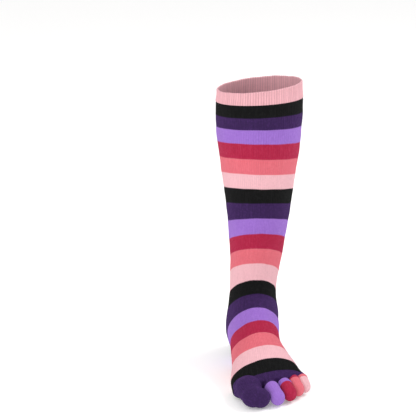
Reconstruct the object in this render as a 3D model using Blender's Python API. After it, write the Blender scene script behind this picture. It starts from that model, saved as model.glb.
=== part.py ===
"""A knee-high striped toe sock, in the shape that a left leg and foot give it.

The sock is hollow and open at the top. A ribbed cuff, nineteen stripes and a toe yoke follow each
other down the leg and along the foot, and five toe pockets leave the yoke. Each yarn is a piece of
its own. +Z is up, the toes point to -Y and the little toe's side is +X. The origin is the middle of
the leg opening. Lengths are in metres.
"""
import math
from collections import namedtuple

import bpy
import bmesh
from mathutils import Vector

# Sizes of the worn sock
SOCK_HEIGHT = 0.401
FOOT_LENGTH = 0.250
HEEL_TO_AXIS = 0.060
CALF_WIDTH = 0.122
CALF_DEPTH = 0.120
ANKLE_WIDTH = 0.066
ANKLE_DEPTH = 0.080
ANKLE_HEIGHT = 0.110
BALL_WIDTH = 0.100
BALL_HEIGHT = 0.037

# Sizes of the knit
KNIT_WALL = 0.0012
CUFF_WALL = 0.0022
RIB_RELIEF = 0.0005
RIBS = 54
YARN_GAP = 0.0003
SOLE_REST = 0.001

# How finely it is drawn: facets round the leg and round a toe, and rows of facets along a piece
LEG_SIDES = 36
TOE_SIDES = 16
BENT_BAND_ROWS = 2
YOKE_ROWS = 3
TOE_BAND_ROWS = 2
TOE_TIP_ROWS = 6
SHARP_DEGREES = 50

# How far a cut runs past a face, and the steps over which the knit's directions are measured
CUT_PAST = 0.003
STATION_STEP = 0.04
TURN_STEP = 0.006

# Yarn colours
YARNS = {
    "cuff_pink": (0.847, 0.474, 0.519),
    "black": (0.016, 0.016, 0.017),
    "deep_purple": (0.060, 0.030, 0.130),
    "lavender": (0.386, 0.209, 0.624),
    "raspberry": (0.456, 0.034, 0.084),
    "salmon": (0.791, 0.188, 0.231),
    "pale_pink": (0.888, 0.533, 0.578),
}
STRIPE_ORDER = ("black", "deep_purple", "lavender", "raspberry", "salmon", "pale_pink")
STRIPES = 19
LEG_STRIPES = 13

# Rings of the leg. The station counts the stripe edges from the cuff's upper edge. Height runs from
# the ankle crease (0) to the cuff (1). Depth and width run from the ankle's (0) to the calf's (1).
# Forward is the ring's middle before the leg's axis, a share of ANKLE_DEPTH. Aside is its middle
# towards the little toe, a share of ANKLE_WIDTH. Tilt lifts the shin side and roll the outer side.
LegRow = namedtuple("LegRow", "station height depth width forward aside tilt roll")
LEG_ROWS = (
    LegRow(0, 1.000, 0.750, 0.890, 0.000, 0.000, 1.5, 6.0),
    LegRow(1, 0.929, 0.860, 0.950, -0.012, 0.000, 3.4, 2.5),
    LegRow(2, 0.863, 0.940, 0.960, -0.021, 0.000, 4.8, 1.5),
    LegRow(3, 0.799, 0.963, 0.930, -0.030, 0.000, 6.5, 0.0),
    LegRow(4, 0.723, 0.950, 0.870, -0.034, 0.000, 8.8, -1.5),
    LegRow(6, 0.569, 0.775, 0.650, -0.031, 0.000, 10.8, -2.5),
    LegRow(8, 0.418, 0.488, 0.440, -0.015, 0.000, 14.5, -2.0),
    LegRow(10, 0.238, 0.200, 0.215, 0.000, -0.020, 25.0, -1.5),
    LegRow(12, 0.072, -0.025, 0.035, 0.006, -0.076, 32.0, -4.0),
    LegRow(13, -0.040, 0.088, -0.010, -0.040, -0.100, 38.0, -2.0),
)

# Rings of the foot. Top and sole are the ring's upper and lower ends: forward of the heel's back as a
# share of FOOT_LENGTH, the top's height from the ball's (0) to the ankle crease's (1), and the sole's
# height as a share of ANKLE_HEIGHT. Width, aside, ridge and arch are shares of BALL_WIDTH: the ring's
# width, its middle and its top point towards the little toe, and the rise of the big toe's side.
# Widest says how far down the ring lies its widest place. Square rounds or squares the lower half.
# Skew is how far the outer side falls back, a share of FOOT_LENGTH.
FootRow = namedtuple(
    "FootRow", "station top top_height sole sole_height width aside ridge widest square skew arch")
FOOT_ROWS = (
    FootRow(14.0, 0.400, 1.015, 0.016, 0.200, 0.710, -0.075, 0.00, 0.42, 2.0, 0.000, 0.00),
    FootRow(14.4, 0.430, 0.937, 0.056, 0.040, 0.735, -0.085, 0.00, 0.44, 2.2, 0.003, 0.00),
    FootRow(15.0, 0.470, 0.823, 0.200, 0.010, 0.725, -0.095, 0.01, 0.46, 2.4, 0.006, 0.03),
    FootRow(16.0, 0.545, 0.660, 0.350, 0.010, 0.680, -0.105, 0.03, 0.50, 2.6, 0.011, 0.06),
    FootRow(17.0, 0.620, 0.511, 0.490, 0.010, 0.700, -0.115, 0.05, 0.54, 2.8, 0.017, 0.06),
    FootRow(18.0, 0.697, 0.353, 0.620, 0.010, 0.800, -0.090, 0.06, 0.58, 3.0, 0.026, 0.04),
    FootRow(19.0, 0.765, 0.173, 0.742, 0.010, 0.940, -0.060, 0.06, 0.66, 3.2, 0.053, 0.01),
    FootRow(20.0, 0.842, 0.000, 0.845, 0.010, 1.020, -0.020, 0.04, 0.70, 3.2, 0.122, 0.00),
    FootRow(21.0, 0.876, -0.110, 0.890, 0.030, 0.950, -0.012, 0.02, 0.60, 2.6, 0.129, 0.00),
)

# Toe pockets. Root and tip lie forward of the heel's back as shares of FOOT_LENGTH and aside as
# shares of BALL_WIDTH. Width and depth are the pocket's own, shares of BALL_WIDTH. Stub and change
# are where the yoke's yarn ends along the pocket and where the second yarn starts. A pocket's root
# stands at ROOT_RISE of the way up to half the ball's height. Its round end is NOSE times as long as
# half its depth.
ROOT_RISE = 0.9
NOSE = 1.15
ToeRow = namedtuple(
    "ToeRow", "name root root_aside tip tip_aside width depth stub first_yarn second_yarn change")
TOE_ROWS = (
    ToeRow("toe_1_big", 0.852, -0.360, 1.004, -0.235, 0.320, 0.270, 0.34, "deep_purple", None, 1.0),
    ToeRow("toe_2", 0.834, -0.035, 0.988, 0.062, 0.195, 0.200, 0.20, "lavender", None, 1.0),
    ToeRow("toe_3", 0.806, 0.142, 0.944, 0.232, 0.168, 0.185, 0.22, "lavender", "raspberry", 0.48),
    ToeRow("toe_4", 0.764, 0.280, 0.884, 0.359, 0.154, 0.175, 0.31, "raspberry", "salmon", 0.50),
    ToeRow("toe_5", 0.744, 0.426, 0.842, 0.494, 0.144, 0.165, 0.26, "salmon", "pale_pink", 0.52),
)

# The course of a pocket. Along runs from root (0) to tip (1). Rise is the middle's height from the
# toes' resting height (0) to the root's height (1). Girth is the share of the pocket's full size.
PocketRow = namedtuple("PocketRow", "along rise girth")
POCKET_ROWS = (
    PocketRow(0.00, 1.00, 0.94),
    PocketRow(0.30, 0.95, 0.98),
    PocketRow(0.55, 0.60, 0.97),
    PocketRow(0.80, 0.20, 1.00),
    PocketRow(1.00, 0.00, 0.96),
)


def between(low, high, share):
    """The value that lies a share of the way from low to high."""
    return low + (high - low) * share


def smooth_values(rows, station):
    """The table's columns at a station, on a smooth curve through the rows."""
    stations = [row[0] for row in rows]
    station = min(max(station, stations[0]), stations[-1])
    last = len(rows) - 1
    low = max(i for i in range(last) if stations[i] <= station or i == 0)
    high = low + 1
    span = stations[high] - stations[low]
    share = (station - stations[low]) / span
    values = []
    for column in range(1, len(rows[0])):
        def slope(index):
            before, after = max(index - 1, 0), min(index + 1, last)
            rise = rows[after][column] - rows[before][column]
            return rise / (stations[after] - stations[before])
        start, end = rows[low][column], rows[high][column]
        cubic = (2 * share ** 3 - 3 * share ** 2 + 1) * start + (3 * share ** 2 - 2 * share ** 3) * end
        cubic += (share ** 3 - 2 * share ** 2 + share) * span * slope(low)
        cubic += (share ** 3 - share ** 2) * span * slope(high)
        values.append(cubic)
    return values


def place(aside, forward, height):
    """A point from its place beside the leg's axis, before the heel's back and above the floor."""
    return Vector((aside, HEEL_TO_AXIS - forward, height - SOCK_HEIGHT))


# A ring in real sizes: its top and low ends, and how it is drawn between them
Ring = namedtuple(
    "Ring", "station top top_height low low_height half aside ridge widest square skew roll arch")


def leg_ring(row):
    """The ring of a row of the leg's table."""
    depth = between(ANKLE_DEPTH, CALF_DEPTH, row.depth)
    middle = HEEL_TO_AXIS + row.forward * ANKLE_DEPTH
    height = between(ANKLE_HEIGHT, SOCK_HEIGHT, row.height)
    rise = depth / 2 * math.tan(math.radians(row.tilt))
    half = between(ANKLE_WIDTH, CALF_WIDTH, row.width) / 2
    roll = math.tan(math.radians(row.roll))
    return Ring(row.station, middle + depth / 2, height + rise, middle - depth / 2, height - rise,
                half, row.aside * ANKLE_WIDTH, 0.0, 0.5, 2.0, 0.0, roll, 0.0)


def foot_ring(row):
    """The ring of a row of the foot's table."""
    return Ring(row.station, row.top * FOOT_LENGTH, between(BALL_HEIGHT, ANKLE_HEIGHT, row.top_height),
                row.sole * FOOT_LENGTH, row.sole_height * ANKLE_HEIGHT, row.width * BALL_WIDTH / 2,
                row.aside * BALL_WIDTH, row.ridge * BALL_WIDTH, row.widest, row.square, row.skew, 0.0,
                row.arch * BALL_WIDTH)


RINGS = [leg_ring(row) for row in LEG_ROWS] + [foot_ring(row) for row in FOOT_ROWS]


def knit_point(station, turn):
    """A point of the knit's outside. Turn 0 is the shin, 0.25 the outer side and 0.5 the calf."""
    ring = Ring(station, *smooth_values(RINGS, station))
    sine, cosine = math.sin(2 * math.pi * turn), math.cos(2 * math.pi * turn)
    power = 1.0 if cosine >= 0 else 2.0 / ring.square
    across = math.copysign(abs(sine) ** power, sine)
    down = math.copysign(abs(cosine) ** power, cosine)
    share = ring.widest * (1 - down) if down >= 0 else between(ring.widest, 1.0, -down)
    beside = ring.half * across
    fall = ring.skew * FOOT_LENGTH * ((1 + across) / 2) ** 2
    forward = between(ring.top, ring.low, share) - fall
    lift = ring.arch * max(0.0, -across) ** 2 * (1 - down)
    height = between(ring.top_height, ring.low_height, share) + ring.roll * beside + lift
    return place(ring.aside + beside + ring.ridge * max(0.0, down), forward, height)


def knit_frame(station, turn):
    """The outward direction and the direction towards the toes at a point of the knit."""
    after = min(station + STATION_STEP, RINGS[-1].station)
    before = max(station - STATION_STEP, RINGS[0].station)
    along = knit_point(after, turn) - knit_point(before, turn)
    around = knit_point(station, turn + TURN_STEP) - knit_point(station, turn - TURN_STEP)
    return along.cross(around).normalized(), along.normalized()


def knit_ring(station, sides, depth, setback=0.0, relief=0.0):
    """A ring of points at a depth under the knit's outside, moved along the sock by the setback."""
    points = []
    for side in range(sides):
        turn = side / sides
        outward, onward = knit_frame(station, turn)
        ridge = relief * (side % 2)
        points.append(knit_point(station, turn) + onward * setback - outward * (depth + ridge))
    return points


def add_loft(mesh, rings, closed):
    """Bridge rings of points into a skin, and join the last ring to the first where it is closed."""
    loops = [[mesh.verts.new(point) for point in ring] for ring in rings]
    count = len(loops[0])
    pairs = list(zip(loops, loops[1:]))
    if closed:
        pairs.append((loops[-1], loops[0]))
    for upper, lower in pairs:
        for side in range(count):
            after = (side + 1) % count
            mesh.faces.new((upper[side], upper[after], lower[after], lower[side]))
    return loops


def finish_mesh(mesh, name):
    """Turn every face of a closed skin outwards and make an object of it."""
    bmesh.ops.recalc_face_normals(mesh, faces=mesh.faces)
    if mesh.calc_volume(signed=True) < 0:
        bmesh.ops.reverse_faces(mesh, faces=mesh.faces)
    data = bpy.data.meshes.new(name)
    mesh.to_mesh(data)
    mesh.free()
    return bpy.data.objects.new(name, data)


def paint(piece, yarn):
    """Give a piece the material of its yarn and smooth shading."""
    material = bpy.data.materials.get(yarn)
    if material is None:
        material = bpy.data.materials.new(yarn)
        material.use_nodes = True
        shader = material.node_tree.nodes["Principled BSDF"]
        shader.inputs["Base Color"].default_value = (*YARNS[yarn], 1.0)
        shader.inputs["Roughness"].default_value = 0.9
        shader.inputs["Metallic"].default_value = 0.0
    piece.data.materials.clear()
    piece.data.materials.append(material)
    piece.data.shade_smooth()
    piece.data.set_sharp_from_angle(angle=math.radians(SHARP_DEGREES))


def tube_piece(name, outer, inner):
    """A tube of cloth from its outer rings and its inner rings, both from the cuff's side on."""
    mesh = bmesh.new()
    add_loft(mesh, outer + inner[::-1], closed=True)
    return finish_mesh(mesh, name)


def close_loop(mesh, loop, tip):
    """Close a loop of a skin with a fan of faces round a tip."""
    pole = mesh.verts.new(tip)
    for side in range(len(loop)):
        mesh.faces.new((loop[side], loop[(side + 1) % len(loop)], pole))


def pocket_piece(name, outer, inner, outer_tip, inner_tip):
    """A pocket of cloth, open at its first rings and closed round its two tips."""
    mesh = bmesh.new()
    loops = add_loft(mesh, inner[::-1] + outer, closed=False)
    close_loop(mesh, loops[0], inner_tip)
    close_loop(mesh, loops[-1], outer_tip)
    return finish_mesh(mesh, name)


def solid_piece(name, rings):
    """A closed solid lofted through rings."""
    mesh = bmesh.new()
    loops = add_loft(mesh, rings, closed=False)
    for loop, ring in ((loops[0], rings[0]), (loops[-1], rings[-1])):
        close_loop(mesh, loop, sum(ring, Vector()) / len(ring))
    return finish_mesh(mesh, name)


def knit_tube(name, first, last, rows, sides, wall, relief=0.0, proud=0.0, free_start=False):
    """A tube of knit between two stations, half a yarn gap short of its neighbours."""
    outer, inner = [], []
    for row in range(rows + 1):
        station = between(first, last, row / rows)
        setback = 0.0
        if row == 0 and not free_start:
            setback = YARN_GAP / 2
        if row == rows:
            setback = -YARN_GAP / 2
        outer.append(knit_ring(station, sides, -proud, setback, relief))
        inner.append(knit_ring(station, sides, wall - proud, setback))
    return tube_piece(name, outer, inner)


def make_cuff(collection):
    """The ribbed double cuff, a little prouder than the knit below it."""
    cuff = knit_tube("cuff", 0, 1, 1, 2 * RIBS, CUFF_WALL, RIB_RELIEF, RIB_RELIEF, free_start=True)
    paint(cuff, "cuff_pink")
    collection.objects.link(cuff)


def make_stripes(collection):
    """The stripes of the leg and of the foot, in the order of their yarns."""
    for index in range(STRIPES):
        yarn = STRIPE_ORDER[index % len(STRIPE_ORDER)]
        region = "leg" if index < LEG_STRIPES else "foot"
        rows = 1 if index < LEG_STRIPES - 2 else BENT_BAND_ROWS
        start = index + 1
        name = f"{region}_band_{start + 1:02d}_{yarn}"
        band = knit_tube(name, start, start + 1, rows, LEG_SIDES, KNIT_WALL)
        paint(band, yarn)
        collection.objects.link(band)


def toe_point(toe, along, turn, inset):
    """A point of a pocket's skin. Turn 0 is the pocket's top and 0.25 its outer side."""
    rise, girth = smooth_values(POCKET_ROWS, along)
    half_width = toe.width * BALL_WIDTH / 2
    half_depth = toe.depth * BALL_WIDTH / 2
    root_height = between(half_depth, BALL_HEIGHT / 2, ROOT_RISE)
    root = place(toe.root_aside * BALL_WIDTH, toe.root * FOOT_LENGTH, root_height)
    tip = place(toe.tip_aside * BALL_WIDTH, toe.tip * FOOT_LENGTH, half_depth + SOLE_REST)
    course = tip - root
    length = math.hypot(course.x, course.y)
    ahead = Vector((course.x, course.y, 0.0)) / length
    beside = Vector((-ahead.y, ahead.x, 0.0))
    reach = length * along
    nose = half_depth * NOSE
    closing = max(0.0, reach - (length - nose)) / nose
    round_end = math.sqrt(max(0.0, 1.0 - closing ** 2))
    sine, cosine = math.sin(2 * math.pi * turn), math.cos(2 * math.pi * turn)
    middle = root + ahead * (reach - inset * max(0.0, 2 * along - 1))
    middle.z = between(tip.z, root.z, rise)
    width = max(half_width * girth - inset, 0.0) * round_end
    depth = max(half_depth * girth - inset, 0.0) * round_end
    return middle + beside * (width * sine) + Vector((0.0, 0.0, depth * cosine))


def toe_ring(toe, along, inset=0.0, setback=0.0):
    """A ring of a pocket's skin, moved along the pocket by the setback."""
    along += setback / ((toe.tip - toe.root) * FOOT_LENGTH)
    return [toe_point(toe, along, side / TOE_SIDES, inset) for side in range(TOE_SIDES)]


def make_toe_band(toe, name, first, last):
    """The part of a pocket between two places along it, open at both ends."""
    stops = [between(first, last, step / TOE_BAND_ROWS) for step in range(TOE_BAND_ROWS + 1)]
    setbacks = [YARN_GAP / 2] + [0.0] * (TOE_BAND_ROWS - 1) + [-YARN_GAP / 2]
    outer = [toe_ring(toe, stop, 0.0, setback) for stop, setback in zip(stops, setbacks)]
    inner = [toe_ring(toe, stop, KNIT_WALL, setback) for stop, setback in zip(stops, setbacks)]
    return tube_piece(name, outer, inner)


def make_toe_tip(toe, name, first):
    """The closed end of a pocket. Its rings draw together towards the tip."""
    angles = [math.pi / 2 * step / TOE_TIP_ROWS for step in range(TOE_TIP_ROWS)]
    stops = [between(first, 1.0, math.sin(angle)) for angle in angles]
    setbacks = [YARN_GAP / 2] + [0.0] * (TOE_TIP_ROWS - 1)
    outer = [toe_ring(toe, stop, 0.0, setback) for stop, setback in zip(stops, setbacks)]
    inner = [toe_ring(toe, stop, KNIT_WALL, setback) for stop, setback in zip(stops, setbacks)]
    outer_tip, inner_tip = (toe_point(toe, 1.0, 0.0, inset) for inset in (0.0, KNIT_WALL))
    return pocket_piece(name, outer, inner, outer_tip, inner_tip)


def make_toes(collection):
    """The five toe pockets, each in one yarn or in two."""
    for toe in TOE_ROWS:
        if toe.second_yarn:
            pieces = [(make_toe_band(toe, toe.name + "_root", toe.stub, toe.change), toe.first_yarn),
                      (make_toe_tip(toe, toe.name + "_tip", toe.change), toe.second_yarn)]
        else:
            pieces = [(make_toe_tip(toe, toe.name, toe.stub), toe.first_yarn)]
        for piece, yarn in pieces:
            paint(piece, yarn)
            collection.objects.link(piece)


def combine(body, other, operation, cutters):
    """Join a solid to a body or cut it away."""
    other.hide_render = True
    other.display_type = "WIRE"
    cutters.objects.link(other)
    step = body.modifiers.new(other.name, "BOOLEAN")
    step.operation = operation
    step.solver = "MANIFOLD"
    step.object = other


def make_yoke(collection, cutters):
    """The yoke across the roots of the toes, with a short hollow stub for each pocket."""
    first, last = STRIPES + 1, STRIPES + 2
    stations = [between(first, last, step / YOKE_ROWS) for step in range(YOKE_ROWS + 1)]
    outer = [knit_ring(first, LEG_SIDES, depth, YARN_GAP / 2) for depth in (2 * KNIT_WALL, 0.0)]
    outer += [knit_ring(station, LEG_SIDES, 0.0) for station in stations[1:]]
    yoke = solid_piece("toe_yoke", outer)
    collection.objects.link(yoke)
    for toe in TOE_ROWS:
        rings = [toe_ring(toe, stop) for stop in (0.0, toe.stub / 2)]
        rings.append(toe_ring(toe, toe.stub, 0.0, -YARN_GAP / 2))
        combine(yoke, solid_piece("stub_" + toe.name, rings), "UNION", cutters)
    inner = [knit_ring(first, LEG_SIDES, KNIT_WALL, -CUT_PAST)]
    inner += [knit_ring(station, LEG_SIDES, KNIT_WALL) for station in stations[:-1]]
    inner += [knit_ring(last, LEG_SIDES, KNIT_WALL, -KNIT_WALL)]
    hollow = solid_piece("hollow_yoke", inner)
    for toe in TOE_ROWS:
        rings = [toe_ring(toe, stop, KNIT_WALL) for stop in (-toe.stub, 0.0, toe.stub)]
        rings.append(toe_ring(toe, toe.stub, KNIT_WALL, CUT_PAST))
        combine(hollow, solid_piece("tunnel_" + toe.name, rings), "UNION", cutters)
    combine(yoke, hollow, "DIFFERENCE", cutters)
    paint(yoke, "deep_purple")


def main():
    """Clear the scene and model the sock."""
    for item in list(bpy.data.objects):
        bpy.data.objects.remove(item, do_unlink=True)
    collection = bpy.data.collections.new("toe_sock")
    cutters = bpy.data.collections.new("cutters")
    bpy.context.scene.collection.children.link(collection)
    bpy.context.scene.collection.children.link(cutters)
    make_cuff(collection)
    make_stripes(collection)
    make_yoke(collection, cutters)
    make_toes(collection)


main()
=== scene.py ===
"""The toe sock as it looks worn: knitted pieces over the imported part, on a white studio floor.

The knit's surface repeats the part's own tables, so that every piece lies where its solid lies. On it
come the fine ribs of the cuff, the wales of the knit, the stitches of the stripes' edges, soft folds
and the rounded toes. Lengths are in metres, with the origin in the middle of the leg opening.
"""

import math
from collections import namedtuple

import bmesh
import bpy
import numpy as np
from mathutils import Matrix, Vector
from mathutils.kdtree import KDTree


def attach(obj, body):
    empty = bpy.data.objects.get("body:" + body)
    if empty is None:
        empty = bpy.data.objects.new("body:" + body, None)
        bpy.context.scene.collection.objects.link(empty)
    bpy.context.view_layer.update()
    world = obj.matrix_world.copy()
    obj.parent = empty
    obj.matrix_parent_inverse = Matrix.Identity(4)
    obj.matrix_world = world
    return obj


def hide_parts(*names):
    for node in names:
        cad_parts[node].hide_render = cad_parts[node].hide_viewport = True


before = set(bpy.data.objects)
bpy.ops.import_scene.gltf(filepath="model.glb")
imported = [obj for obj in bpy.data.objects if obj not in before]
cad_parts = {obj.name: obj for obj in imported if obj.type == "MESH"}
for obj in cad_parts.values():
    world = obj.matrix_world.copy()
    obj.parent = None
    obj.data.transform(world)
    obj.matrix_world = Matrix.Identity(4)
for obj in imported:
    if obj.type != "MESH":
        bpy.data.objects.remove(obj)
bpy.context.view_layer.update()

# Sizes of the worn sock, as in the part
SOCK_HEIGHT = 0.401
FOOT_LENGTH = 0.250
HEEL_TO_AXIS = 0.060
CALF_WIDTH = 0.122
CALF_DEPTH = 0.120
ANKLE_WIDTH = 0.066
ANKLE_DEPTH = 0.080
ANKLE_HEIGHT = 0.110
BALL_WIDTH = 0.100
BALL_HEIGHT = 0.037
KNIT_WALL = 0.0012
CUFF_WALL = 0.0022
SOLE_REST = 0.001

STRIPE_ORDER = ("black", "deep_purple", "lavender", "raspberry", "salmon", "pale_pink")
STRIPES = 19
LEG_STRIPES = 13

# The part's table of the leg's rings
LegRow = namedtuple("LegRow", "station height depth width forward aside tilt roll")
LEG_ROWS = (
    LegRow(0, 1.000, 0.750, 0.890, 0.000, 0.000, 1.5, 6.0),
    LegRow(1, 0.929, 0.860, 0.950, -0.012, 0.000, 3.4, 2.5),
    LegRow(2, 0.863, 0.940, 0.960, -0.021, 0.000, 4.8, 1.5),
    LegRow(3, 0.799, 0.963, 0.930, -0.030, 0.000, 6.5, 0.0),
    LegRow(4, 0.723, 0.950, 0.870, -0.034, 0.000, 8.8, -1.5),
    LegRow(6, 0.569, 0.775, 0.650, -0.031, 0.000, 10.8, -2.5),
    LegRow(8, 0.418, 0.488, 0.440, -0.015, 0.000, 14.5, -2.0),
    LegRow(10, 0.238, 0.200, 0.215, 0.000, -0.020, 25.0, -1.5),
    LegRow(12, 0.072, -0.025, 0.035, 0.006, -0.076, 32.0, -4.0),
    LegRow(13, -0.040, 0.088, -0.010, -0.040, -0.100, 38.0, -2.0),
)

# The part's table of the foot's rings
FootRow = namedtuple(
    "FootRow", "station top top_height sole sole_height width aside ridge widest square skew arch")
FOOT_ROWS = (
    FootRow(14.0, 0.400, 1.015, 0.016, 0.200, 0.710, -0.075, 0.00, 0.42, 2.0, 0.000, 0.00),
    FootRow(14.4, 0.430, 0.937, 0.056, 0.040, 0.735, -0.085, 0.00, 0.44, 2.2, 0.003, 0.00),
    FootRow(15.0, 0.470, 0.823, 0.200, 0.010, 0.725, -0.095, 0.01, 0.46, 2.4, 0.006, 0.03),
    FootRow(16.0, 0.545, 0.660, 0.350, 0.010, 0.680, -0.105, 0.03, 0.50, 2.6, 0.011, 0.06),
    FootRow(17.0, 0.620, 0.511, 0.490, 0.010, 0.700, -0.115, 0.05, 0.54, 2.8, 0.017, 0.06),
    FootRow(18.0, 0.697, 0.353, 0.620, 0.010, 0.800, -0.090, 0.06, 0.58, 3.0, 0.026, 0.04),
    FootRow(19.0, 0.765, 0.173, 0.742, 0.010, 0.940, -0.060, 0.06, 0.66, 3.2, 0.053, 0.01),
    FootRow(20.0, 0.842, 0.000, 0.845, 0.010, 1.020, -0.020, 0.04, 0.70, 3.2, 0.122, 0.00),
    FootRow(21.0, 0.876, -0.110, 0.890, 0.030, 0.950, -0.012, 0.02, 0.60, 2.6, 0.129, 0.00),
)

# The toe pockets in the part's terms, with sizes a little off the part's plain pockets, as the toes
# fill them: stub is where a pocket leaves the yoke, and change where its second yarn starts
ToeRow = namedtuple(
    "ToeRow", "name root root_aside tip tip_aside width depth stub first_yarn second_yarn change")
TOE_ROWS = (
    ToeRow("toe_1_big", 0.852, -0.350, 1.008, -0.262, 0.345, 0.275, 0.34, "deep_purple", None, 1.0),
    ToeRow("toe_2", 0.830, -0.040, 0.984, 0.055, 0.205, 0.205, 0.22, "lavender", None, 1.0),
    ToeRow("toe_3", 0.802, 0.152, 0.936, 0.238, 0.196, 0.200, 0.14, "lavender", "raspberry", 0.40),
    ToeRow("toe_4", 0.758, 0.292, 0.878, 0.368, 0.186, 0.195, 0.22, "raspberry", "salmon", 0.38),
    ToeRow("toe_5", 0.736, 0.418, 0.832, 0.478, 0.170, 0.180, 0.30, "salmon", "pale_pink", 0.46),
)

# The course of a pocket, with the waist and the swelling of a toe's end. Along runs from root to tip,
# rise is the middle's height and girth the share of the pocket's full size.
PocketRow = namedtuple("PocketRow", "along rise girth")
POCKET_ROWS = (
    PocketRow(0.00, 1.00, 0.96),
    PocketRow(0.30, 0.97, 1.00),
    PocketRow(0.58, 0.58, 0.95),
    PocketRow(0.82, 0.16, 1.04),
    PocketRow(1.00, 0.00, 1.03),
)
ROOT_RISE = 0.9
NOSE = 1.15

# Lobes that round the big toe out: their middle beside and forward as shares of BALL_WIDTH and
# FOOT_LENGTH, their middle's height and their half sizes aside, forward and up as shares of BALL_WIDTH
LobeRow = namedtuple("LobeRow", "aside forward height wide long high")
LOBE_ROWS = (
    LobeRow(-0.205, 0.952, 0.138, 0.138, 0.150, 0.132),
    LobeRow(-0.330, 0.862, 0.185, 0.180, 0.200, 0.170),
)

# The knit: its wales round the leg, how many of them stand out, and its courses to a stripe, and the
# same for the toes' pockets and the cuff
WALES = 324
COARSE_WALES = 108
STRIPE_COURSES = 24
TOE_WALES = 60
TOE_COURSES = 40
BIG_TOE_WALES = 2 * TOE_WALES
BIG_TOE_COURSES = 1.5 * TOE_COURSES
CUFF_RIBS = 104
CUFF_COURSES = 22

# Relief of the surface. A rib's shape is the power of its wave, and the doubled cuff takes a share of
# the folds.
WALE_RELIEF = 0.00018
RIB_RELIEF = 0.00055
RIB_SHAPE = 0.7
CUFF_PROUD = 0.0006
CUFF_WAIST = 0.0004
CUFF_FOLDS = 0.5
SHARP_DEGREES = 60

# Edges, in stations: how far the stitches jog at a stripe's edge, how far the ribs reach over the
# cuff's lower edge and its rim, and how far the rim rolls over
EDGE_JOG = 0.026
CUFF_SCALLOP = 0.030
RIM_SCALLOP = 0.015
RIM_ROLL = 0.060

# Soft folds. Station and turn are a fold's middle, length its half length in turns, breadth its half
# breadth in stations, slant how many stations it climbs in a turn, and height how far it stands out.
FoldRow = namedtuple("FoldRow", "station turn length breadth slant height")
FOLD_ROWS = (
    FoldRow(13.35, 0.03, 0.11, 0.16, 0.8, -0.0007),
    FoldRow(13.75, -0.02, 0.13, 0.17, -0.6, 0.0006),
    FoldRow(14.20, 0.05, 0.10, 0.16, 1.2, -0.0006),
    FoldRow(14.60, 0.00, 0.12, 0.18, -0.8, 0.0005),
    FoldRow(15.25, 0.10, 0.07, 0.14, 2.0, -0.0005),
    FoldRow(14.75, 0.20, 0.08, 0.20, 3.0, -0.0009),
    FoldRow(14.30, 0.24, 0.07, 0.18, 3.0, 0.0007),
    FoldRow(13.60, 0.30, 0.10, 0.16, 1.5, -0.0006),
    FoldRow(12.60, 0.50, 0.10, 0.15, 0.0, -0.0007),
    FoldRow(12.95, 0.47, 0.12, 0.16, 0.5, 0.0006),
    FoldRow(11.70, 0.14, 0.08, 0.14, 1.0, -0.0003),
    FoldRow(15.10, 0.78, 0.08, 0.20, -3.0, -0.0008),
    FoldRow(14.60, 0.75, 0.07, 0.18, -3.0, 0.0006),
    FoldRow(17.60, 0.06, 0.04, 0.10, 0.5, -0.0004),
    FoldRow(19.40, 0.90, 0.06, 0.14, -1.0, -0.0003),
)

# Slow waves of the surface: how many round the leg and along it, their phase and height
WaveRow = namedtuple("WaveRow", "round along phase height")
WAVE_ROWS = (
    WaveRow(3, 0.31, 0.4, 0.00018),
    WaveRow(5, -0.47, 1.9, 0.00014),
    WaveRow(8, 0.83, 3.1, 0.00010),
    WaveRow(13, -1.21, 5.0, 0.00007),
)

# Waves of the cuff's rim, in stations
RimRow = namedtuple("RimRow", "round phase height")
RIM_ROWS = (
    RimRow(9, 0.0, 0.010),
    RimRow(23, 1.0, 0.006),
)

# The yoke's rings: how far each lies past the yoke's edge, in stations, and how deep under the knit's
# surface. The first one lies under the last black stripe.
YokeRow = namedtuple("YokeRow", "past depth")
YOKE_ROWS = (
    YokeRow(-0.14, 0.0005),
    YokeRow(0.0, 0.0002),
    YokeRow(0.1, 0.0),
    YokeRow(0.35, 0.0),
    YokeRow(0.6, 0.0),
    YokeRow(0.8, 0.0),
    YokeRow(1.0, 0.0),
)
HOLLOW_START = 0.3
HOLLOW_SHORT = 0.05
BIG_TOE_START = (-0.25, 0.0, 0.2)
STUB_START = -0.2
STUB_PAST = 0.03
STUB_HOLLOW_PAST = 0.2
STUB_INSET = 0.0003

# How finely it is drawn
KNIT_SIDES = 432
STRIPE_ROWS = 22
CUFF_SIDES = 832
CUFF_ROWS = 22
LIP_ROWS = 8
TOE_SIDES = 96
TOE_ROWS_DRAWN = 64
TOE_ROOT_ROWS = 25
YOKE_SIDES = 144
POCKET_SIDES = 64
BIG_TOE_ROWS = 24
STUB_ROWS = 6
LOBE_SIDES = 48
LOBE_RINGS = 24
LOBE_POLE = 0.06
YOKE_VOXEL = 0.0010
SKIN_SMOOTHING = 6
HOLLOW_SMOOTHING = 2
STATION_STEP = 0.04
TURN_STEP = 0.006

# The places from which the yoke's wales and courses are read: round it, along it and along the big toe
GRID_TURNS = np.arange(180) / 180
GRID_STATIONS = np.linspace(STRIPES + 0.7, STRIPES + 2, 28)
GRID_ALONGS = np.linspace(0.25, 1.0, 40)
GRID_STEP = 0.02


def between(low, high, share):
    """The value that lies a share of the way from low to high."""
    return low + (high - low) * share


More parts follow.
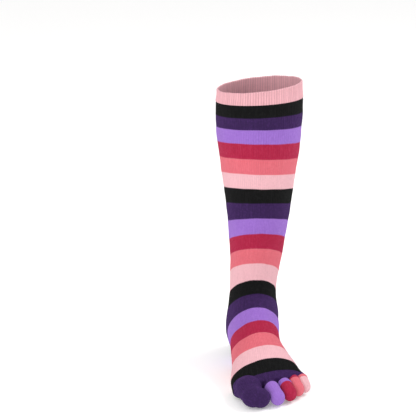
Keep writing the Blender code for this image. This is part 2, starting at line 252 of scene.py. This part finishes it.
def columns_at(rows, stations):
    """A table's columns at an array of stations, on a smooth curve through the rows."""
    table = np.array([tuple(row) for row in rows], float)
    knots, values = table[:, 0], table[:, 1:]
    slopes = np.empty_like(values)
    slopes[1:-1] = (values[2:] - values[:-2]) / (knots[2:] - knots[:-2])[:, None]
    slopes[0] = (values[1] - values[0]) / (knots[1] - knots[0])
    slopes[-1] = (values[-1] - values[-2]) / (knots[-1] - knots[-2])
    place = np.clip(stations, knots[0], knots[-1])
    low = np.clip(np.searchsorted(knots, place, side="right") - 1, 0, len(knots) - 2)
    span = knots[low + 1] - knots[low]
    share = ((place - knots[low]) / span)[..., None]
    span = span[..., None]
    smooth = (2 * share ** 3 - 3 * share ** 2 + 1) * values[low]
    smooth += (3 * share ** 2 - 2 * share ** 3) * values[low + 1]
    smooth += (share ** 3 - 2 * share ** 2 + share) * span * slopes[low]
    smooth += (share ** 3 - share ** 2) * span * slopes[low + 1]
    return np.moveaxis(smooth, -1, 0)


Ring = namedtuple(
    "Ring", "station top top_height low low_height half aside ridge widest square skew roll arch")


def leg_ring(row):
    """The ring of a row of the leg's table, in real sizes."""
    depth = between(ANKLE_DEPTH, CALF_DEPTH, row.depth)
    middle = HEEL_TO_AXIS + row.forward * ANKLE_DEPTH
    height = between(ANKLE_HEIGHT, SOCK_HEIGHT, row.height)
    rise = depth / 2 * math.tan(math.radians(row.tilt))
    half = between(ANKLE_WIDTH, CALF_WIDTH, row.width) / 2
    roll = math.tan(math.radians(row.roll))
    return Ring(row.station, middle + depth / 2, height + rise, middle - depth / 2, height - rise,
                half, row.aside * ANKLE_WIDTH, 0.0, 0.5, 2.0, 0.0, roll, 0.0)


def foot_ring(row):
    """The ring of a row of the foot's table, in real sizes."""
    return Ring(row.station, row.top * FOOT_LENGTH, between(BALL_HEIGHT, ANKLE_HEIGHT, row.top_height),
                row.sole * FOOT_LENGTH, row.sole_height * ANKLE_HEIGHT, row.width * BALL_WIDTH / 2,
                row.aside * BALL_WIDTH, row.ridge * BALL_WIDTH, row.widest, row.square, row.skew, 0.0,
                row.arch * BALL_WIDTH)


RINGS = [leg_ring(row) for row in LEG_ROWS] + [foot_ring(row) for row in FOOT_ROWS]


def place(aside, forward, height):
    """Points from their place beside the leg's axis, before the heel's back and above the floor."""
    return np.stack([aside, HEEL_TO_AXIS - forward, height - SOCK_HEIGHT], axis=-1)


def knit_points(stations, turns):
    """Points of the knit's outside. Turn 0 is the shin, 0.25 the outer side and 0.5 the calf."""
    stations, turns = np.broadcast_arrays(np.asarray(stations, float), np.asarray(turns, float))
    ring = Ring(stations, *columns_at(RINGS, stations))
    sine, cosine = np.sin(2 * np.pi * turns), np.cos(2 * np.pi * turns)
    power = np.where(cosine >= 0, 1.0, 2.0 / ring.square)
    across = np.copysign(np.abs(sine) ** power, sine)
    down = np.copysign(np.abs(cosine) ** power, cosine)
    share = np.where(down >= 0, ring.widest * (1 - down), between(ring.widest, 1.0, -down))
    beside = ring.half * across
    fall = ring.skew * FOOT_LENGTH * ((1 + across) / 2) ** 2
    forward = between(ring.top, ring.low, share) - fall
    lift = ring.arch * np.maximum(0.0, -across) ** 2 * (1 - down)
    height = between(ring.top_height, ring.low_height, share) + ring.roll * beside + lift
    return place(ring.aside + beside + ring.ridge * np.maximum(0.0, down), forward, height)


def unit(vectors):
    """Vectors at a length of one."""
    return vectors / np.maximum(np.linalg.norm(vectors, axis=-1, keepdims=True), 1e-12)


def knit_normals(stations, turns):
    """The outward directions at points of the knit."""
    after = np.minimum(stations + STATION_STEP, RINGS[-1].station)
    before = np.maximum(stations - STATION_STEP, RINGS[0].station)
    along = knit_points(after, turns) - knit_points(before, turns)
    around = knit_points(stations, turns + TURN_STEP) - knit_points(stations, turns - TURN_STEP)
    return unit(np.cross(along, around))


def fold_relief(stations, turns):
    """How far the folds and slow waves stand out at points of the knit."""
    relief = np.zeros(np.broadcast(stations, turns).shape)
    for fold in FOLD_ROWS:
        aside = (turns - fold.turn + 0.5) % 1.0 - 0.5
        off = stations - fold.station - fold.slant * aside
        relief += fold.height * np.exp(-(aside / fold.length) ** 2 - (off / fold.breadth) ** 2)
    for wave in WAVE_ROWS:
        angle = 2 * np.pi * (wave.round * turns + wave.along * stations) + wave.phase
        relief += wave.height * np.sin(angle)
    return relief


def edge_station(edge, turns):
    """A stripe's edge, drawn wale by wale: each coarse wale reaches a little past the edge."""
    if edge == 0:
        return np.zeros_like(turns)
    if edge == 1:
        return edge + CUFF_SCALLOP * (np.abs(np.cos(np.pi * CUFF_RIBS * turns)) - 0.6)
    slow = 0.4 * np.sin(2 * np.pi * 7 * turns + 2.1 * edge) * np.sin(2 * np.pi * 3 * turns + edge)
    return edge + EDGE_JOG * (np.cos(2 * np.pi * COARSE_WALES * turns) + slow)


def grid_mesh(name, layers, uv_layers, close_first=None, close_last=None, ring_loop=False):
    """A mesh through rings of points. Each ring is an array of points with its own row of UVs."""
    layers = np.asarray(layers)
    rings, sides = layers.shape[:2]
    points = layers.reshape(-1, 3)
    ring_pairs = [(i, i + 1) for i in range(rings - 1)]
    if ring_loop:
        ring_pairs.append((rings - 1, 0))
    side = np.arange(sides)
    after = (side + 1) % sides
    faces, face_uvs = [], []
    for upper, lower in ring_pairs:
        quad = np.stack([upper * sides + side, upper * sides + after,
                         lower * sides + after, lower * sides + side], axis=1)
        faces.append(quad)
        u = np.stack([side, side + 1, side + 1, side], axis=1) / sides
        v_high, v_low = uv_layers[upper], uv_layers[lower]
        v = np.tile([v_high[1], v_high[1], v_low[1], v_low[1]], (sides, 1))
        face_uvs.append(np.stack([u * v_high[0], v], axis=-1))
    faces = np.concatenate(faces)
    face_uvs = np.concatenate(face_uvs).reshape(-1, 2)
    mesh = bpy.data.meshes.new(name)
    extra = [np.asarray(tip).reshape(1, 3) for tip in (close_first, close_last) if tip is not None]
    points = np.concatenate([points] + extra)
    polygons = faces.tolist()
    fans = []
    pole = rings * sides
    if close_first is not None:
        fans += [(int(after[i]), int(i), pole) for i in side]
        pole += 1
    if close_last is not None:
        base = (rings - 1) * sides
        fans += [(base + int(i), base + int(after[i]), pole) for i in side]
    mesh.from_pydata(points.tolist(), [], polygons + fans)
    layer = mesh.uv_layers.new(name="knit")
    fan_uvs = np.zeros((len(fans) * 3, 2))
    layer.data.foreach_set("uv", np.concatenate([face_uvs, fan_uvs]).astype(np.float32).ravel())
    return mesh


def turn_outward(mesh):
    """Turn the faces of a closed mesh outward."""
    solid = bmesh.new()
    solid.from_mesh(mesh)
    bmesh.ops.recalc_face_normals(solid, faces=solid.faces)
    if solid.calc_volume(signed=True) < 0:
        bmesh.ops.reverse_faces(solid, faces=solid.faces)
    solid.to_mesh(mesh)
    solid.free()


def finish_piece(name, mesh, material, slot, *nodes):
    """Link a mesh as a piece of the sock, smooth, in its yarn, over the solids it stands for."""
    turn_outward(mesh)
    mesh.materials.clear()
    mesh.materials.append(material)
    mesh.shade_smooth()
    mesh.set_sharp_from_angle(angle=math.radians(SHARP_DEGREES))
    piece = bpy.data.objects.new(name, mesh)
    bpy.context.scene.collection.objects.link(piece)
    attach(piece, "root")
    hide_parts(*nodes)
    return piece


def make_stripe(index, materials):
    """One stripe: a tube of knit between its two edges."""
    yarn = STRIPE_ORDER[index % len(STRIPE_ORDER)]
    region = "leg" if index < LEG_STRIPES else "foot"
    start = index + 1
    node = f"{region}_band_{start + 1:02d}_{yarn}"
    turns = np.arange(KNIT_SIDES) / KNIT_SIDES
    first, last = edge_station(start, turns), edge_station(start + 1, turns)
    wales = WALE_RELIEF * np.cos(2 * np.pi * COARSE_WALES * turns)
    layers, uvs = [], []
    for row in range(STRIPE_ROWS + 1):
        stations = between(first, last, row / STRIPE_ROWS)
        relief = wales + fold_relief(stations, turns)
        points = knit_points(stations, turns)
        layers.append(points + knit_normals(stations, turns) * relief[:, None])
        uvs.append((WALES, (start + row / STRIPE_ROWS) * STRIPE_COURSES))
    for row in (STRIPE_ROWS, STRIPE_ROWS // 2, 0):
        stations = between(first, last, row / STRIPE_ROWS)
        points = knit_points(stations, turns)
        relief = fold_relief(stations, turns) - KNIT_WALL
        layers.append(points + knit_normals(stations, turns) * relief[:, None])
        uvs.append((WALES, (start + row / STRIPE_ROWS) * STRIPE_COURSES))
    mesh = grid_mesh(node + "_knit", layers, uvs, ring_loop=True)
    return finish_piece(node + "_knit", mesh, materials[yarn], yarn, node)


def make_cuff(materials):
    """The ribbed cuff, folded double over its upper edge."""
    turns = np.arange(CUFF_SIDES) / CUFF_SIDES
    ribs = np.abs(np.cos(np.pi * CUFF_RIBS * turns)) ** RIB_SHAPE
    ripple = sum(row.height * np.sin(2 * np.pi * row.round * turns + row.phase) for row in RIM_ROWS)
    first = RIM_ROLL + ripple + RIM_SCALLOP * ribs
    last = edge_station(1, turns)
    layers, uvs = [], []

    def add_ring(stations, outward, row):
        layers.append(knit_points(stations, turns) + knit_normals(stations, turns) * outward[:, None])
        uvs.append((CUFF_RIBS, row))

    for row in range(CUFF_ROWS + 1):
        share = 1 - row / CUFF_ROWS
        stations = between(first, last, share)
        fading = min(1.0, row / 1.5 + 0.35)
        waist = CUFF_WAIST * math.sin(math.pi * share)
        outward = CUFF_PROUD * fading + RIB_RELIEF * (ribs - 0.5) * fading - waist
        folds = fold_relief(stations, turns) * CUFF_FOLDS
        add_ring(stations, outward + folds, share * CUFF_COURSES)
    lip = CUFF_WALL / 2
    for row in range(1, LIP_ROWS + 1):
        angle = math.pi * row / (LIP_ROWS + 1)
        stations = first - RIM_ROLL * math.sin(angle)
        outward = CUFF_PROUD - lip * (1 - math.cos(angle))
        ribbed = RIB_RELIEF * (ribs - 0.5) * math.cos(angle / 2) ** 2
        add_ring(stations, outward + ribbed, -row)
    inside = np.full_like(turns, CUFF_PROUD - CUFF_WALL)
    for row in (0.0, 0.5, 1.0):
        stations = between(first, last, row)
        add_ring(stations, inside, row * CUFF_COURSES)
    mesh = grid_mesh("cuff_knit", layers, uvs, ring_loop=True)
    return finish_piece("cuff_knit", mesh, materials["cuff_pink"], "cuff_pink", "cuff")


def toe_points(toe, along, turns, inset=0.0):
    """Points of a pocket's skin. Turn 0 is the pocket's top and 0.25 its outer side."""
    along, turns = np.broadcast_arrays(np.asarray(along, float), np.asarray(turns, float))
    rise, girth = columns_at(POCKET_ROWS, along)
    half_width = toe.width * BALL_WIDTH / 2
    half_depth = toe.depth * BALL_WIDTH / 2
    root_height = between(half_depth, BALL_HEIGHT / 2, ROOT_RISE)
    root = place(toe.root_aside * BALL_WIDTH, toe.root * FOOT_LENGTH, root_height)
    tip = place(toe.tip_aside * BALL_WIDTH, toe.tip * FOOT_LENGTH, half_depth + SOLE_REST)
    course = tip - root
    length = math.hypot(course[0], course[1])
    ahead = np.array([course[0], course[1], 0.0]) / length
    beside = np.array([-ahead[1], ahead[0], 0.0])
    reach = length * along
    nose = half_depth * NOSE
    closing = np.maximum(0.0, reach - (length - nose)) / nose
    round_end = np.sqrt(np.maximum(0.0, 1.0 - closing ** 2))
    sine, cosine = np.sin(2 * np.pi * turns), np.cos(2 * np.pi * turns)
    middle = root + ahead * (reach - inset * np.maximum(0.0, 2 * along - 1))[..., None]
    middle[..., 2] = between(tip[2], root[2], rise)
    width = np.maximum(half_width * girth - inset, 0.0) * round_end * sine
    depth = np.maximum(half_depth * girth - inset, 0.0) * round_end * cosine
    up = np.array([0.0, 0.0, 1.0])
    return middle + beside * width[..., None] + up * depth[..., None]


def closing_stops(first, rows):
    """Places along a pocket from a first one to just before the tip, closer towards the tip."""
    return between(first, 1.0, np.sin(np.pi / 2 * np.arange(rows) / rows))


def make_toe_end(toe, name, first, yarn, materials):
    """The closed end of a pocket."""
    turns = np.arange(TOE_SIDES) / TOE_SIDES
    stops = closing_stops(first, TOE_ROWS_DRAWN)
    inner = stops[::4][::-1]
    layers = [toe_points(toe, stop, turns, KNIT_WALL) for stop in inner]
    uvs = [(TOE_WALES, stop * TOE_COURSES) for stop in inner]
    for stop in stops:
        layers.append(toe_points(toe, stop, turns))
        uvs.append((TOE_WALES, stop * TOE_COURSES))
    tips = toe_points(toe, 1.0, 0.0, KNIT_WALL), toe_points(toe, 1.0, 0.0)
    mesh = grid_mesh(name + "_knit", layers, uvs, *tips)
    return finish_piece(name + "_knit", mesh, materials[yarn], yarn, name)


def make_toe_root(toe, name, first, last, yarn, materials):
    """The part of a pocket between the yoke and the second yarn."""
    turns = np.arange(TOE_SIDES) / TOE_SIDES
    stops = between(first, last, np.linspace(0.0, 1.0, TOE_ROOT_ROWS))
    layers = [toe_points(toe, stop, turns) for stop in stops]
    layers += [toe_points(toe, stop, turns, KNIT_WALL) for stop in stops[::-8]]
    uvs = [(TOE_WALES, stop * TOE_COURSES) for stop in [*stops, *stops[::-8]]]
    mesh = grid_mesh(name + "_knit", layers, uvs, ring_loop=True)
    return finish_piece(name + "_knit", mesh, materials[yarn], yarn, name)


def make_toes(materials):
    """The pockets of the four smaller toes, each in one yarn or in two."""
    for toe in TOE_ROWS[1:]:
        if toe.second_yarn:
            make_toe_root(toe, toe.name + "_root", toe.stub, toe.change, toe.first_yarn, materials)
            make_toe_end(toe, toe.name + "_tip", toe.change, toe.second_yarn, materials)
        else:
            make_toe_end(toe, toe.name, toe.stub, toe.first_yarn, materials)


def solid_object(name, rings):
    """A closed solid lofted through rings of points."""
    ends = np.mean(rings[0], axis=0), np.mean(rings[-1], axis=0)
    mesh = grid_mesh(name, rings, [(1, 0)] * len(rings), *ends)
    turn_outward(mesh)
    item = bpy.data.objects.new(name, mesh)
    bpy.context.scene.collection.objects.link(item)
    return item


def lobe_object(lobe):
    """A lobe of the big toe as a closed solid."""
    middle = place(lobe.aside * BALL_WIDTH, lobe.forward * FOOT_LENGTH, lobe.height * BALL_WIDTH)
    sizes = np.array([lobe.wide, lobe.long, lobe.high]) * BALL_WIDTH
    around = 2 * np.pi * np.arange(LOBE_SIDES) / LOBE_SIDES
    rings = []
    for polar in np.linspace(LOBE_POLE, np.pi - LOBE_POLE, LOBE_RINGS):
        ring = np.stack([np.sin(polar) * np.cos(around), np.sin(polar) * np.sin(around),
                         np.full_like(around, np.cos(polar))], axis=1)
        rings.append(middle + ring * sizes)
    return solid_object("lobe", rings)


def melted(name, solids, voxel, rounds):
    """One skin round several solids, with its creases softened. The solids are used up."""
    with bpy.context.temp_override(active_object=solids[0], selected_editable_objects=solids):
        bpy.ops.object.join()
    body = solids[0]
    body.name = name
    step = body.modifiers.new("skin", "REMESH")
    step.mode = "VOXEL"
    step.voxel_size = voxel
    soft = body.modifiers.new("soft", "SMOOTH")
    soft.factor = 0.5
    soft.iterations = rounds
    return apply_all(body)


def apply_all(item):
    """The item with its modifiers made real."""
    graph = bpy.context.evaluated_depsgraph_get()
    mesh = bpy.data.meshes.new_from_object(item.evaluated_get(graph))
    item.modifiers.clear()
    item.data = mesh
    return item


def knit_rings(stops, depths):
    """Rings round the knit at some stations, each at its depth under the surface."""
    turns = np.arange(YOKE_SIDES) / YOKE_SIDES
    rings = []
    for stop, depth in zip(stops, depths):
        stations = np.full_like(turns, stop)
        rings.append(knit_points(stations, turns) - knit_normals(stations, turns) * depth)
    return rings


def pocket_rings(toe, stops, inset=0.0):
    """Rings round a pocket at some places along it."""
    turns = np.arange(POCKET_SIDES) / POCKET_SIDES
    return [toe_points(toe, stop, turns, inset) for stop in stops]


def make_yoke(materials):
    """The yoke and the big toe's pocket in one skin, with a stub under each smaller pocket."""
    edge, end = STRIPES + 1, STRIPES + 2
    big, small = TOE_ROWS[0], TOE_ROWS[1:]
    stops = [edge + row.past for row in YOKE_ROWS]
    big_stops = [*BIG_TOE_START, *closing_stops(big.stub, BIG_TOE_ROWS)]
    outer = [solid_object("yoke_skin", knit_rings(stops, [row.depth for row in YOKE_ROWS])),
             solid_object("big_skin", pocket_rings(big, big_stops))]
    outer += [lobe_object(lobe) for lobe in LOBE_ROWS]
    for toe in small:
        steps = np.linspace(STUB_START, toe.stub + STUB_PAST, STUB_ROWS)
        outer.append(solid_object("stub_skin", pocket_rings(toe, steps, STUB_INSET)))
    yoke = melted("yoke_body", outer, YOKE_VOXEL, SKIN_SMOOTHING)

    stops = [edge - HOLLOW_START, *stops[1:-1], end - HOLLOW_SHORT]
    inner = [solid_object("yoke_hollow", knit_rings(stops, [KNIT_WALL] * len(stops))),
             solid_object("big_hollow", pocket_rings(big, big_stops, KNIT_WALL))]
    for toe in small:
        steps = np.linspace(STUB_START, toe.stub + STUB_HOLLOW_PAST, STUB_ROWS)
        inner.append(solid_object("stub_hollow", pocket_rings(toe, steps, KNIT_WALL + STUB_INSET)))
    hollow = melted("yoke_inside", inner, 2 * YOKE_VOXEL, HOLLOW_SMOOTHING)

    cut = yoke.modifiers.new("hollow", "BOOLEAN")
    cut.operation = "DIFFERENCE"
    cut.solver = "MANIFOLD"
    cut.object = hollow
    mesh = apply_all(yoke).data
    mesh.name = "toe_yoke_knit"
    for item in (hollow, yoke):
        bpy.data.objects.remove(item, do_unlink=True)
    add_yoke_coordinates(mesh, big)
    return finish_piece("toe_yoke_knit", mesh, materials["deep_purple"], "deep_purple",
                        "toe_yoke", "toe_1_big")


def add_yoke_coordinates(mesh, big):
    """Lay the knit's wales and courses over the yoke and the big toe's pocket, face by face."""
    def big_skin(along, turn):
        return toe_points(big, along, turn)

    skins = ((knit_points, WALES, STRIPE_COURSES, GRID_STATIONS, GRID_TURNS),
             (big_skin, BIG_TOE_WALES, BIG_TOE_COURSES, GRID_ALONGS, GRID_TURNS[::3]))
    spots, points = [], []
    for surface, wales, courses, alongs, arounds in skins:
        grid = [(along, turn) for along in alongs for turn in arounds]
        spots += [(surface, wales, courses, along, turn) for along, turn in grid]
        points.append(surface(*np.array(grid).T))
    tree = KDTree(len(spots))
    for index, point in enumerate(np.concatenate(points)):
        tree.insert(point, index)
    tree.balance()
    layer = mesh.uv_layers.get("knit") or mesh.uv_layers.new(name="knit")
    for polygon in mesh.polygons:
        surface, wales, courses, along, turn = spots[tree.find(polygon.center)[1]]
        base = surface(along, turn)
        ahead = (base - surface(along - GRID_STEP, turn)) / GRID_STEP
        around = (surface(along, turn + GRID_STEP) - base) / GRID_STEP
        a_a, a_r, r_r = ahead @ ahead, ahead @ around, around @ around
        size = max(a_a * r_r - a_r * a_r, 1e-12)
        for loop in polygon.loop_indices:
            off = np.array(mesh.vertices[mesh.loops[loop].vertex_index].co) - base
            o_a, o_r = off @ ahead, off @ around
            ahead_off = (o_a * r_r - o_r * a_r) / size
            turn_off = (o_r * a_a - o_a * a_r) / size
            layer.data[loop].uv = ((turn + turn_off) * wales, (along + ahead_off) * courses)


# Yarns: their colour, the lighter colour of their fuzz, and how strongly it shows
YarnRow = namedtuple("YarnRow", "name colour fuzz sheen")
YARN_ROWS = (
    YarnRow("cuff_pink", (0.850, 0.455, 0.500), (1.000, 0.740, 0.770), 0.22),
    YarnRow("black", (0.0060, 0.0060, 0.0063), (0.080, 0.085, 0.085), 0.08),
    YarnRow("deep_purple", (0.037, 0.016, 0.074), (0.300, 0.110, 0.580), 0.20),
    YarnRow("lavender", (0.320, 0.155, 0.590), (0.760, 0.540, 0.980), 0.28),
    YarnRow("raspberry", (0.410, 0.018, 0.058), (0.980, 0.200, 0.360), 0.22),
    YarnRow("salmon", (0.745, 0.150, 0.190), (1.000, 0.520, 0.600), 0.22),
    YarnRow("pale_pink", (0.850, 0.480, 0.525), (1.000, 0.780, 0.820), 0.22),
)

# How strongly the knit's tones and painted shade show: streaks along the wales, specks, and painted
# shade in the coarse wales' grooves, the gaps between stitches and the grooves between ribs. Darker and
# lighter tones are shares of the yarn.
DARK_SHARE = 0.62
LIGHT_SHARE = 0.30
RIB_GROOVE_SHADE_SHARE = 0.60
STREAKS = 0.55
DARK_STREAKS = 0.8
SPECKS = 1.1
WALE_SHADE = 0.22
STITCH_SHADE = 0.35
RIB_SHADE = 0.75

# The knit's surface: how far a stitch's legs lean, in courses, its roughness, its bump, and how much of
# the bump comes from stitches and from fibres
STITCH_LEAN = 1.1
ROUGHNESS = 0.82
ROUGHNESS_SPREAD = 0.14
SHEEN_ROUGHNESS = 0.45
SPECULAR = 0.08
BUMP_STRENGTH = 0.55
BUMP_DISTANCE = 0.00035
STITCH_BUMP = 0.9
FIBRE_BUMP = 0.35

# Noise in the yarn: its scale and detail. The streaks' noise is flat and runs along the wales.
STREAK_NOISE = (1.0, 2.0)
MOTTLE_NOISE = (420.0, 3.0)
CLOUD_NOISE = (55.0, 2.0)
FIBRE_NOISE = (2600.0, 2.0)
STREAK_WALES = 0.34
STREAK_COURSES = 0.035


def make_yarn(yarn, ribbed):
    """A knit material: stitches in rows, streaks along the wales, mottled dye, painted shade in its
    grooves and gaps, and a soft fuzz.
    """
    material = bpy.data.materials.new(yarn.name)
    material.use_nodes = True
    tree = material.node_tree
    nodes, links = tree.nodes, tree.links
    shader = nodes["Principled BSDF"]

    def node(kind, **settings):
        made = nodes.new(kind)
        for key, value in settings.items():
            setattr(made, key, value)
        return made

    def math_node(operation, first, second=None):
        made = node("ShaderNodeMath", operation=operation)
        for socket, value in zip(made.inputs, (first, second)):
            if value is None:
                continue
            if isinstance(value, (int, float)):
                socket.default_value = value
            else:
                links.new(value, socket)
        return made.outputs[0]

    def mix_colour(factor, first, second):
        made = node("ShaderNodeMix", data_type="RGBA")
        for place_in_list, value in ((0, factor), (6, first), (7, second)):
            socket = made.inputs[place_in_list]
            if isinstance(value, (int, float)):
                socket.default_value = value
            elif isinstance(value, tuple):
                socket.default_value = (*value, 1.0)
            else:
                links.new(value, socket)
        return made.outputs[2]

    def noise(place_at, sizes, **settings):
        made = node("ShaderNodeTexNoise", **settings)
        made.inputs["Scale"].default_value, made.inputs["Detail"].default_value = sizes
        links.new(place_at, made.inputs["Vector"])
        return made.outputs[0]

    def off_middle(value, strength):
        return math_node("MULTIPLY", math_node("SUBTRACT", value, 0.5), strength)

    def vary(colour, amount, dark_strength):
        lighter = math_node("MAXIMUM", amount, 0.0)
        darker = math_node("MAXIMUM", math_node("MULTIPLY", amount, -dark_strength), 0.0)
        return mix_colour(darker, mix_colour(lighter, colour, light), dark)

    split = node("ShaderNodeSeparateXYZ")
    links.new(node("ShaderNodeUVMap", uv_map="knit").outputs[0], split.inputs[0])
    wale, course = split.outputs[0], split.outputs[1]

    # One stitch: two legs that lean together, so a column of them reads as a row of V shapes
    across = math_node("ABSOLUTE", math_node("SUBTRACT", math_node("FRACT", wale), 0.5))
    leg = math_node("SINE", math_node("MULTIPLY", across, 2 * math.pi))
    climb = math_node("SUBTRACT", course, math_node("MULTIPLY", across, STITCH_LEAN))
    loop = math_node("ABSOLUTE", math_node("SINE", math_node("MULTIPLY", climb, math.pi)))
    stitch = math_node("MULTIPLY", math_node("POWER", loop, 0.6), math_node("POWER", leg, 0.5))

    # Slow streaks along the wales, a mottle over all, and fibres
    streak_place = node("ShaderNodeCombineXYZ")
    links.new(math_node("MULTIPLY", wale, STREAK_WALES), streak_place.inputs[0])
    links.new(math_node("MULTIPLY", course, STREAK_COURSES), streak_place.inputs[1])
    streak = noise(streak_place.outputs[0], STREAK_NOISE, noise_dimensions="2D")
    place_in_space = node("ShaderNodeTexCoord").outputs["Object"]
    mottle = noise(place_in_space, MOTTLE_NOISE)
    cloud = noise(place_in_space, CLOUD_NOISE)
    fibre = noise(place_in_space, FIBRE_NOISE)

    # The colour: streaks, specks, then painted shade in the grooves between wales, the gaps between
    # stitches and the grooves between ribs
    dark = tuple(c * DARK_SHARE for c in yarn.colour)
    light = tuple(between(c, f, LIGHT_SHARE) for c, f in zip(yarn.colour, yarn.fuzz))
    colour = vary(yarn.colour, off_middle(streak, STREAKS), DARK_STREAKS)
    colour = vary(colour, off_middle(mottle, SPECKS), 1.0)
    # Painted shade: the grooves between the coarse wales are darkened in patches towards the yarn's
    # darker tone
    coarse = math_node("COSINE", math_node("MULTIPLY", wale, 2 * math.pi * COARSE_WALES / WALES))
    patchy = math_node("MULTIPLY", cloud, WALE_SHADE)
    column = math_node("MULTIPLY", math_node("SUBTRACT", 1.0, coarse), patchy)
    colour = mix_colour(column, colour, dark)
    # Painted shade: the gaps between the stitches are darkened towards the yarn's darker tone
    stitch_gap_shade = math_node("MULTIPLY", math_node("SUBTRACT", 1.0, stitch), STITCH_SHADE)
    colour = mix_colour(stitch_gap_shade, colour, dark)
    if ribbed:
        # Painted shade: the grooves between the cuff's ribs are darkened
        rib_groove_shade = math_node("SUBTRACT", 1.0, math_node("MULTIPLY", across, 2.0))
        rib_groove_shade = math_node("MULTIPLY", math_node("POWER", rib_groove_shade, 2.0), RIB_SHADE)
        colour = mix_colour(rib_groove_shade, colour, tuple(c * RIB_GROOVE_SHADE_SHARE for c in yarn.colour))
    links.new(colour, shader.inputs["Base Color"])

    rough = math_node("ADD", math_node("MULTIPLY", mottle, ROUGHNESS_SPREAD), ROUGHNESS)
    links.new(rough, shader.inputs["Roughness"])
    shader.inputs["Sheen Weight"].default_value = yarn.sheen
    shader.inputs["Sheen Roughness"].default_value = SHEEN_ROUGHNESS
    shader.inputs["Sheen Tint"].default_value = (*yarn.fuzz, 1.0)
    shader.inputs["Specular IOR Level"].default_value = SPECULAR
    shader.inputs["Metallic"].default_value = 0.0

    height = math_node("ADD", math_node("MULTIPLY", stitch, STITCH_BUMP),
                       math_node("MULTIPLY", fibre, FIBRE_BUMP))
    bump = node("ShaderNodeBump")
    bump.inputs["Strength"].default_value = BUMP_STRENGTH
    bump.inputs["Distance"].default_value = BUMP_DISTANCE
    links.new(height, bump.inputs["Height"])
    links.new(bump.outputs[0], shader.inputs["Normal"])
    return material


FLOOR_REACH = 6.0
FLOOR_COLOUR = (0.90, 0.895, 0.89, 1.0)
FLOOR_ROUGHNESS = 0.8
FLOOR_GLOW = 0.22


def make_floor():
    """A plain white studio floor under the sole."""
    mesh = bpy.data.meshes.new("studio_floor")
    reach = FLOOR_REACH
    corners = ((-reach, -reach), (reach, -reach), (reach, reach), (-reach, reach))
    mesh.from_pydata([(x, y, -SOCK_HEIGHT) for x, y in corners], [], [(0, 1, 2, 3)])
    material = bpy.data.materials.new("studio_white")
    material.use_nodes = True
    shader = material.node_tree.nodes["Principled BSDF"]
    shader.inputs["Base Color"].default_value = FLOOR_COLOUR
    shader.inputs["Roughness"].default_value = FLOOR_ROUGHNESS
    shader.inputs["Emission Color"].default_value = (1.0, 1.0, 1.0, 1.0)
    shader.inputs["Emission Strength"].default_value = FLOOR_GLOW
    mesh.materials.append(material)
    floor = bpy.data.objects.new("studio_floor", mesh)
    bpy.context.scene.collection.objects.link(floor)


# The soft square lights, each with the point that it faces
LightRow = namedtuple("LightRow", "name place aim size power colour")
LIGHT_ROWS = (
    LightRow("key", (-1.3, -1.6, 1.1), (0.0, 0.0, -0.2), 1.8, 27.0, (1.0, 0.985, 0.97)),
    LightRow("top", (1.5, 0.1, 1.5), (0.0, -0.05, -0.4), 1.0, 24.0, (1.0, 1.0, 1.0)),
)
WORLD_STRENGTH = 0.78


def add_area_light(row):
    """A soft square light that faces a point."""
    data = bpy.data.lights.new(row.name, "AREA")
    data.shape = "SQUARE"
    data.size = row.size
    data.energy = row.power
    data.color = row.colour
    light = bpy.data.objects.new(row.name, data)
    light.location = row.place
    light.rotation_euler = (Vector(row.aim) - Vector(row.place)).to_track_quat("-Z", "Y").to_euler()
    bpy.context.scene.collection.objects.link(light)


def make_studio():
    """White surroundings, a broad soft key from the left and a soft light from above on the right."""
    world = bpy.data.worlds.new("studio")
    world.use_nodes = True
    background = world.node_tree.nodes["Background"]
    background.inputs["Color"].default_value = (1.0, 1.0, 1.0, 1.0)
    background.inputs["Strength"].default_value = WORLD_STRENGTH
    bpy.context.scene.world = world
    bpy.context.scene.view_settings.view_transform = "Standard"
    for row in LIGHT_ROWS:
        add_area_light(row)


# The camera as the photograph was taken: its place, its direction in degrees and its focal length
CAMERA_PLACE = (-0.2923, -2.0776, 0.439)
CAMERA_YAW = 6.08
CAMERA_PITCH = -16.37
CAMERA_LENS = 135.0
CAMERA_SENSOR = 36.0
CAMERA_REACH = 50.0


def make_camera():
    """The camera in front of the foot, a little above the cuff."""
    data = bpy.data.cameras.new("camera")
    data.lens = CAMERA_LENS
    data.sensor_width = CAMERA_SENSOR
    data.clip_end = CAMERA_REACH
    camera = bpy.data.objects.new("camera", data)
    camera.location = CAMERA_PLACE
    camera.rotation_euler = (math.radians(90.0 + CAMERA_PITCH), 0.0, math.radians(-CAMERA_YAW))
    bpy.context.scene.collection.objects.link(camera)
    bpy.context.scene.camera = camera


yarns = {yarn.name: make_yarn(yarn, yarn.name == "cuff_pink") for yarn in YARN_ROWS}
make_cuff(yarns)
for stripe in range(STRIPES):
    make_stripe(stripe, yarns)
make_yoke(yarns)
make_toes(yarns)
make_floor()
make_studio()
make_camera()
